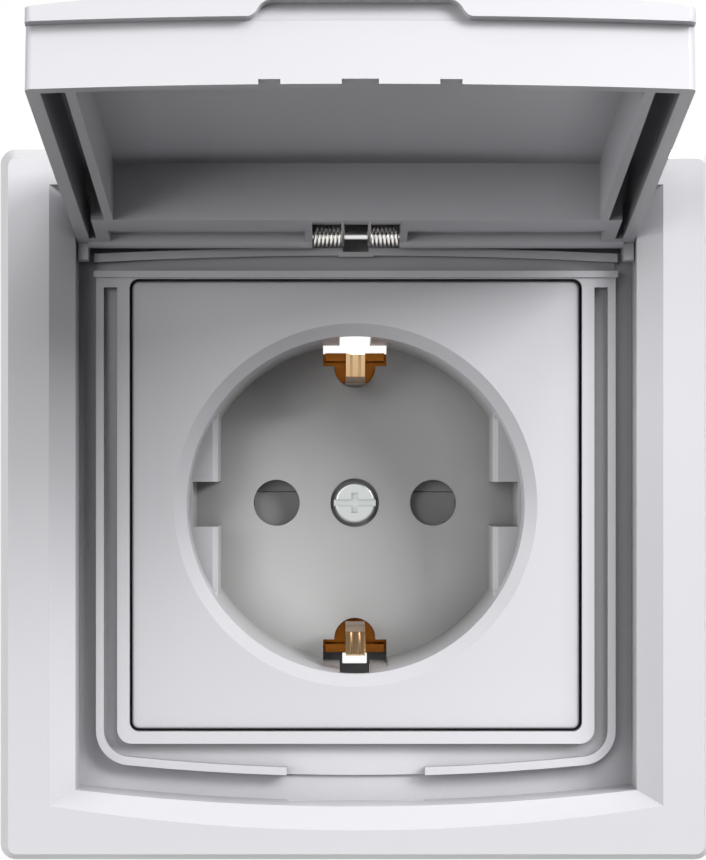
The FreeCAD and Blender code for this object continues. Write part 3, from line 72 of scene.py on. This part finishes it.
# Rounded edges
SHARP = math.radians(32)
ROUNDING_STEPS = 2
FLAT_FACE_WEIGHT = 80  # large flat faces rule the shading over the narrow rounded ones
RECESS_DEPTH, RECESS_RADIUS = 12.6 * MM, 19.9 * MM
SHARE_OUTSIDE = 0.35  # of the plate's rounding, for the edges outside the recess
ROUNDED = {
    "cover_frame": 0.16 * MM,
    "lid": 0.14 * MM,
    "centre_plate": 0.4 * MM,
    "centre_screw": 0.08 * MM,
    "support_ring": 0.1 * MM,
    "socket_base": 0.3 * MM,
    "earth_contact": 0.08 * MM,
    "shutter_carrier": 0.1 * MM,
    "shutter": 0.1 * MM,
    "wall_seal": 0.1 * MM,
    "shutter_spring": 0.0,
    "hinge_axle": 0.05 * MM,
    "ring_rivets": 0.06 * MM,
    "line_contact": 0.06 * MM,
    "neutral_contact": 0.06 * MM,
    "line_clamp": 0.06 * MM,
    "neutral_clamp": 0.06 * MM,
    "earth_clamp": 0.06 * MM,
    "line_clamp_screw": 0.06 * MM,
    "neutral_clamp_screw": 0.06 * MM,
    "earth_clamp_screw": 0.06 * MM,
    "plate_seal": 0.1 * MM,
}

# Two grooves along the sloping front of each earth finger, beside its middle rib
GROOVE_AT = 0.4 * MM
GROOVE_WIDTH = 0.16 * MM
GROOVE_DEPTH = 0.14 * MM
FINGERS_END = 3.2 * MM  # only the fingers lie in front of this depth
INTO_FINGER = (0.866, 0.5)  # inwards and away from the middle, square to the slope

# Tongue of the base behind the lower earth window, with the light hole under the finger
TONGUE_ACROSS = (-4.0, -1.85, -1.5, 1.5, 1.85, 4.0)
TONGUE_DOWN = (-17.62, -18.5, -19.85, -21.2)
TONGUE_FRONT = 16.3 * MM
TONGUE_THICK = 1.2 * MM
TONGUE_ROUNDING = 0.1 * MM

LOOP_FROM = 1.32 * MM  # the lid spring is split at this distance from the axle

# Stage, light and camera
PAPER = (0.8, 0.8, 0.8)
FLOOR_HALF, FLOOR_BACK, FLOOR_LEVEL = 1.2, 0.25, -0.3
PLAIN_LIGHT, PLAIN_STRENGTH = (0.95, 0.97, 1.0), 0.02
CAMERA_AT = (-2.36 * MM, -365 * MM, 5.8 * MM)
LENS, SHIFT_X, SHIFT_Y = 129.87, 0.0205, 0.0291


def placed(name, data):
    """A new object in the scene."""
    made = bpy.data.objects.new(name, data)
    bpy.context.scene.collection.objects.link(made)
    return made


def opened(mesh):
    """An editable copy of the mesh."""
    work = bmesh.new()
    work.from_mesh(mesh)
    return work


def closed(work, mesh):
    """Write the edited copy back into the mesh."""
    work.to_mesh(mesh)
    work.free()


def material(
    name, colour, roughness, metallic=0.0, bump=0.0, tint=0.03, level=0.5, painted_depth_shade=None, corner_shade=0.0
):
    """Procedural finish: a faint mottle in colour and gloss, and a fine grain in the surface.

    bump is the strength of the grain, tint the share by which the mottle changes the colour,
    painted_depth_shade the colour of the shade painted in behind the wall's plane, and corner_shade
    the share by which shade is painted into a closed corner.
    """
    made = bpy.data.materials.new(name)
    made.use_nodes = True
    nodes = made.node_tree.nodes
    links = made.node_tree.links
    shader = nodes["Principled BSDF"]
    shader.inputs["Metallic"].default_value = metallic
    shader.inputs["Specular IOR Level"].default_value = level
    place = nodes.new("ShaderNodeTexCoord")
    mottle = nodes.new("ShaderNodeTexNoise")
    mottle.inputs["Scale"].default_value = GRAIN / MOTTLE_TO_GRAIN
    mottle.inputs["Detail"].default_value = 3
    links.new(place.outputs["Object"], mottle.inputs["Vector"])
    blend = nodes.new("ShaderNodeMix")
    blend.data_type = "RGBA"
    blend.inputs["A"].default_value = (*[c * (1 - tint) for c in colour], 1)
    blend.inputs["B"].default_value = (*[min(1, c * (1 + tint)) for c in colour], 1)
    links.new(mottle.outputs["Fac"], blend.inputs["Factor"])
    shade = blend.outputs["Result"]
    if painted_depth_shade:
        # Painted shade: the colour darkens with depth behind the wall's plane, the brass to a dark
        # brown and the white plastic to the recess grey
        axes = nodes.new("ShaderNodeSeparateXYZ")
        links.new(place.outputs["Object"], axes.inputs["Vector"])
        depth = nodes.new("ShaderNodeMapRange")
        depth.inputs["From Min"].default_value = DEEP_FROM
        depth.inputs["From Max"].default_value = DEEP_TO
        links.new(axes.outputs["Y"], depth.inputs["Value"])
        depth_shaded = nodes.new("ShaderNodeMix")
        depth_shaded.data_type = "RGBA"
        links.new(depth.outputs["Result"], depth_shaded.inputs["Factor"])
        links.new(shade, depth_shaded.inputs["A"])
        depth_shaded.inputs["B"].default_value = (*painted_depth_shade, 1)
        shade = depth_shaded.outputs["Result"]
    if corner_shade:
        # Painted shade: narrow channels and corners are darkened in the colour, the more the nearer
        # the walls close them in
        cover = nodes.new("ShaderNodeAmbientOcclusion")
        cover.samples = CORNER_SHADE_SAMPLES
        cover.inputs["Distance"].default_value = CORNER_SHADE_REACH
        shade_scale = nodes.new("ShaderNodeMapRange")
        shade_scale.inputs["To Min"].default_value = 1 - corner_shade
        links.new(cover.outputs["AO"], shade_scale.inputs["Value"])
        corner_shaded = nodes.new("ShaderNodeVectorMath")
        corner_shaded.operation = "SCALE"
        links.new(shade, corner_shaded.inputs[0])
        links.new(shade_scale.outputs["Result"], corner_shaded.inputs["Scale"])
        shade = corner_shaded.outputs["Vector"]
    links.new(shade, shader.inputs["Base Color"])
    gloss = nodes.new("ShaderNodeMapRange")
    gloss.inputs["To Min"].default_value = roughness * (1 - GLOSS_SPREAD)
    gloss.inputs["To Max"].default_value = roughness * (1 + GLOSS_SPREAD)
    links.new(mottle.outputs["Fac"], gloss.inputs["Value"])
    links.new(gloss.outputs["Result"], shader.inputs["Roughness"])
    if bump:
        fine = nodes.new("ShaderNodeTexNoise")
        fine.inputs["Scale"].default_value = GRAIN
        fine.inputs["Detail"].default_value = 2
        links.new(place.outputs["Object"], fine.inputs["Vector"])
        relief = nodes.new("ShaderNodeBump")
        relief.inputs["Strength"].default_value = bump
        relief.inputs["Distance"].default_value = GRAIN_HEIGHT
        links.new(fine.outputs["Fac"], relief.inputs["Height"])
        links.new(relief.outputs["Normal"], shader.inputs["Normal"])
    return made


finish = {
    # The white plastic has shade painted into its corners, and painted shade that deepens behind
    # the wall's plane
    "white_plastic": material(
        "white_plastic", WHITE, 0.3, bump=0.15, tint=0.006, level=0.25, painted_depth_shade=RECESS_SHADE, corner_shade=0.6
    ),
    "inner_plastic": material("inner_plastic", (0.27, 0.27, 0.275), 0.4, bump=0.2, tint=0.02),
    "base_plastic": material("base_plastic", (0.11, 0.11, 0.12), 0.5, bump=0.3),
    "seal_rubber": material("seal_rubber", (0.03, 0.03, 0.03), 0.7, bump=0.3),
    # The brass has painted shade that deepens behind the wall's plane
    "brass": material(
        "brass", (0.72, 0.5, 0.28), 0.25, metallic=1.0, bump=0.2, tint=0.08, painted_depth_shade=BRASS_SHADE
    ),
    "zinc_steel": material(
        "zinc_steel", (0.47, 0.49, 0.48), 0.35, metallic=1.0, bump=0.3, tint=0.06
    ),
    "steel": material("steel", (0.8, 0.8, 0.8), 0.25, metallic=1.0, bump=0.1),
    "spring_steel": material("spring_steel", (0.85, 0.83, 0.8), 0.2, metallic=1.0, bump=0.1),
}
slots = {part["node"]: part["material_slot"] for part in frame["record"]["subparts"]}
riding = {}
for body, members in frame["record"]["behaviour"]["bodies"].items():
    for member in members:
        riding[member] = body


def welded(node):
    """The CAD node's own mesh with its facets joined into whole faces."""
    mesh = frame["nodes"][node].data.copy()
    work = opened(mesh)
    bmesh.ops.remove_doubles(work, verts=work.verts, dist=SAME_PLACE)
    # The base stays in facets: joined and rounded, its front would cover the right pin's chamber
    if node != "socket_base":
        bmesh.ops.dissolve_limit(work, angle_limit=FLAT, verts=work.verts, edges=work.edges)
    bmesh.ops.recalc_face_normals(work, faces=work.faces)
    closed(work, mesh)
    return mesh


def press_grooves(mesh):
    """Press the two grooves into each finger of the earth contact."""
    inner, outer = GROOVE_AT, GROOVE_AT + GROOVE_WIDTH
    work = opened(mesh)
    for cut in (-outer, -inner, inner, outer):
        front = [f for f in work.faces if f.calc_center_median().y < FINGERS_END]
        rim = [e for e in work.edges if any(f in front for f in e.link_faces)]
        corners = {v for e in rim for v in e.verts}
        bmesh.ops.bisect_plane(
            work,
            geom=front + rim + list(corners),
            plane_co=(cut, 0, 0),
            plane_no=(1, 0, 0),
            dist=ON_PLANE,
        )
    floors = []
    for face in work.faces:
        middle = face.calc_center_median()
        on_slope = face.normal.y < -0.5 and abs(face.normal.x) < 0.1
        if inner < abs(middle.x) < outer and middle.y < 0 and on_slope:
            floors.append(face)
    made = bmesh.ops.extrude_face_region(work, geom=floors)
    inwards, away = INTO_FINGER
    for item in made["geom"]:
        if isinstance(item, bmesh.types.BMVert):
            side = 1 if item.co.z > 0 else -1
            item.co += Vector((0, inwards, away * side)) * GROOVE_DEPTH
    bmesh.ops.delete(work, geom=floors, context="FACES")
    bmesh.ops.recalc_face_normals(work, faces=work.faces)
    closed(work, mesh)


def weigh_edges(mesh):
    """Full rounding for the plate's edges inside the recess, a share of it for the others."""
    work = opened(mesh)
    weight = work.edges.layers.float.new("bevel_weight_edge")
    for edge in work.edges:
        if len(edge.link_faces) == 2 and edge.calc_face_angle(0) > SHARP:
            middle = (edge.verts[0].co + edge.verts[1].co) / 2
            inside = 0 < middle.y < RECESS_DEPTH and math.hypot(middle.x, middle.z) < RECESS_RADIUS
            edge[weight] = 1.0 if inside else SHARE_OUTSIDE
    closed(work, mesh)


def moulded(node, radius):
    """A shown piece that stands for a CAD node, its edges rounded as a mould or die leaves them."""
    piece = placed(node + "_shown", welded(node))
    if node == "earth_contact":
        press_grooves(piece.data)
    piece.data.materials.clear()
    piece.data.materials.append(finish[slots[node]])
    for polygon in piece.data.polygons:
        polygon.use_smooth = True
    if radius:
        rounding = piece.modifiers.new("rounding", "BEVEL")
        rounding.width = radius
        rounding.segments = ROUNDING_STEPS
        if node == "centre_plate":
            weigh_edges(piece.data)
            rounding.limit_method = "WEIGHT"
        else:
            rounding.limit_method = "ANGLE"
            rounding.angle_limit = SHARP
        rounding.harden_normals = False
        rounding.use_clamp_overlap = True
        rounding.miter_outer = "MITER_ARC"
    normals = piece.modifiers.new("normals", "WEIGHTED_NORMAL")
    normals.keep_sharp = True
    normals.weight = FLAT_FACE_WEIGHT
    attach(piece, riding[node])
    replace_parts(piece, node)
    return piece


shown_as = {node: moulded(node, radius) for node, radius in ROUNDED.items()}
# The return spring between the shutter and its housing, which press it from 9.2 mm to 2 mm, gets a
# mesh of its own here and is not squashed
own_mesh(shown_as["shutter_spring"])


def guard_tongue():
    """Thin tongue of the base behind the lower earth window."""
    mesh = bpy.data.meshes.new("guard_tongue")
    work = bmesh.new()
    corners = [
        [work.verts.new((x * MM, TONGUE_FRONT, z * MM)) for x in TONGUE_ACROSS] for z in TONGUE_DOWN
    ]
    for row in range(len(TONGUE_DOWN) - 1):
        for cell in range(len(TONGUE_ACROSS) - 1):
            hole = row == 1 and cell == 2
            beside = row == 2 and cell in (0, 4)
            if not hole and not beside:
                upper, lower = corners[row], corners[row + 1]
                work.faces.new((upper[cell], lower[cell], lower[cell + 1], upper[cell + 1]))
    loose = [v for v in work.verts if not v.link_faces]
    bmesh.ops.delete(work, geom=loose, context="VERTS")
    grown = bmesh.ops.extrude_face_region(work, geom=work.faces[:])
    for item in grown["geom"]:
        if isinstance(item, bmesh.types.BMVert):
            item.co.y += TONGUE_THICK
    bmesh.ops.recalc_face_normals(work, faces=work.faces)
    closed(work, mesh)
    piece = placed("guard_tongue", mesh)
    mesh.materials.append(finish["base_plastic"])
    rounding = piece.modifiers.new("rounding", "BEVEL")
    rounding.width = TONGUE_ROUNDING
    rounding.segments = ROUNDING_STEPS
    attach(piece, riding["socket_base"])


guard_tongue()


def spring_part(name, body, outward):
    """The lid spring's coils, or its middle loop, which lies in its seat and turns with the lid."""
    along = Vector((0, -math.cos(OPEN_TILT), math.sin(OPEN_TILT)))
    mesh = frame["nodes"]["lid_spring"].data.copy()
    work = opened(mesh)
    cut = bmesh.ops.bisect_plane(
        work,
        geom=work.verts[:] + work.edges[:] + work.faces[:],
        plane_co=HINGE_AT + along * LOOP_FROM,
        plane_no=along,
        dist=ON_PLANE,
        clear_inner=outward,
        clear_outer=not outward,
    )
    rim = [item for item in cut["geom_cut"] if isinstance(item, bmesh.types.BMEdge)]
    bmesh.ops.holes_fill(work, edges=rim)
    closed(work, mesh)
    piece = placed(name, mesh)
    mesh.materials.clear()
    mesh.materials.append(finish[slots["lid_spring"]])
    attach(piece, body)
    return piece


spring_part("spring_loop", "lid", True)
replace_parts(spring_part("spring_coils", "housing", False), "lid_spring")


def seen_directly(nodes, links):
    """1 for what the camera sees straight, reflected or through a clear piece, otherwise 0."""
    path = nodes.new("ShaderNodeLightPath")
    seen = path.outputs["Is Camera Ray"]
    for ray in ("Is Glossy Ray", "Is Transmission Ray"):
        either = nodes.new("ShaderNodeMath")
        either.operation = "MAXIMUM"
        links.new(seen, either.inputs[0])
        links.new(path.outputs[ray], either.inputs[1])
        seen = either.outputs["Value"]
    return seen


def white_when_seen(tree, lit, shone, target):
    """Join what the light meets and what the camera sees of one surface."""
    mix = tree.nodes.new("ShaderNodeMixShader")
    tree.links.new(seen_directly(tree.nodes, tree.links), mix.inputs["Fac"])
    tree.links.new(lit, mix.inputs[1])
    tree.links.new(shone, mix.inputs[2])
    tree.links.new(mix.outputs["Shader"], tree.nodes[target].inputs["Surface"])


def floor():
    """Floor that is white to the camera and in reflections, and plain pale paper to the light."""
    backdrop = bpy.data.materials.new("backdrop")
    backdrop.use_nodes = True
    nodes = backdrop.node_tree.nodes
    paper = nodes["Principled BSDF"]
    paper.inputs["Base Color"].default_value = (*PAPER, 1)
    paper.inputs["Roughness"].default_value = 0.9
    glow = nodes.new("ShaderNodeEmission")
    glow.inputs["Strength"].default_value = 1.0
    white_when_seen(
        backdrop.node_tree, paper.outputs["BSDF"], glow.outputs["Emission"], "Material Output"
    )
    mesh = bpy.data.meshes.new("floor_sheet")
    across = (-FLOOR_HALF, FLOOR_HALF)
    front = [Vector((x, 0, FLOOR_LEVEL)) for x in across]
    back = [Vector((x, FLOOR_BACK, FLOOR_LEVEL)) for x in reversed(across)]
    mesh.from_pydata(front + back, [], [(0, 1, 2, 3)])
    mesh.materials.append(backdrop)
    made = placed("floor_sheet", mesh)


floor()


def lamp(name, azimuth, elevation, power, size=0.5, away=1.4):
    """Square soft light aimed at the middle, azimuth counted from the front towards the right."""
    light = bpy.data.lights.new(name, "AREA")
    light.size = size
    light.energy = power
    made = placed(name, light)
    turn = math.radians(azimuth)
    rise = math.radians(elevation)
    level = math.cos(rise)
    spot = Vector((math.sin(turn) * level, -math.cos(turn) * level, math.sin(rise)))
    made.location = spot * away
    made.rotation_mode = "QUATERNION"
    made.rotation_quaternion = (-spot).to_track_quat("-Z", "Y")


lamp("key", 45, 25, 14.1)
lamp("upper", 20, 40, 6.4)
lamp("left_side", -70, 10, 5.5)
lamp("left_front", -20, 10, 3.6)
lamp("right_side", 60, 10, 1.2)
lamp("low_left", -50, -10, 1.9)
lamp("rear", 165, 40, 0.35, size=0.1, away=0.22)

world = bpy.data.worlds.new("world")
bpy.context.scene.world = world
world.use_nodes = True
plain = world.node_tree.nodes["Background"]
plain.inputs["Color"].default_value = (*PLAIN_LIGHT, 1)
plain.inputs["Strength"].default_value = PLAIN_STRENGTH
bright = world.node_tree.nodes.new("ShaderNodeBackground")
bright.inputs["Color"].default_value = (1, 1, 1, 1)
bright.inputs["Strength"].default_value = 1.0
white_when_seen(
    world.node_tree, plain.outputs["Background"], bright.outputs["Background"], "World Output"
)

bpy.context.scene.view_settings.view_transform = "Standard"

camera = placed("camera", bpy.data.cameras.new("camera"))
camera.location = CAMERA_AT
camera.rotation_euler = (math.radians(90), 0, 0)
camera.data.sensor_width = 36
camera.data.lens = LENS
camera.data.shift_x = SHIFT_X
camera.data.shift_y = SHIFT_Y
camera.data.clip_start = 0.01
camera.data.clip_end = 10
bpy.context.scene.camera = camera
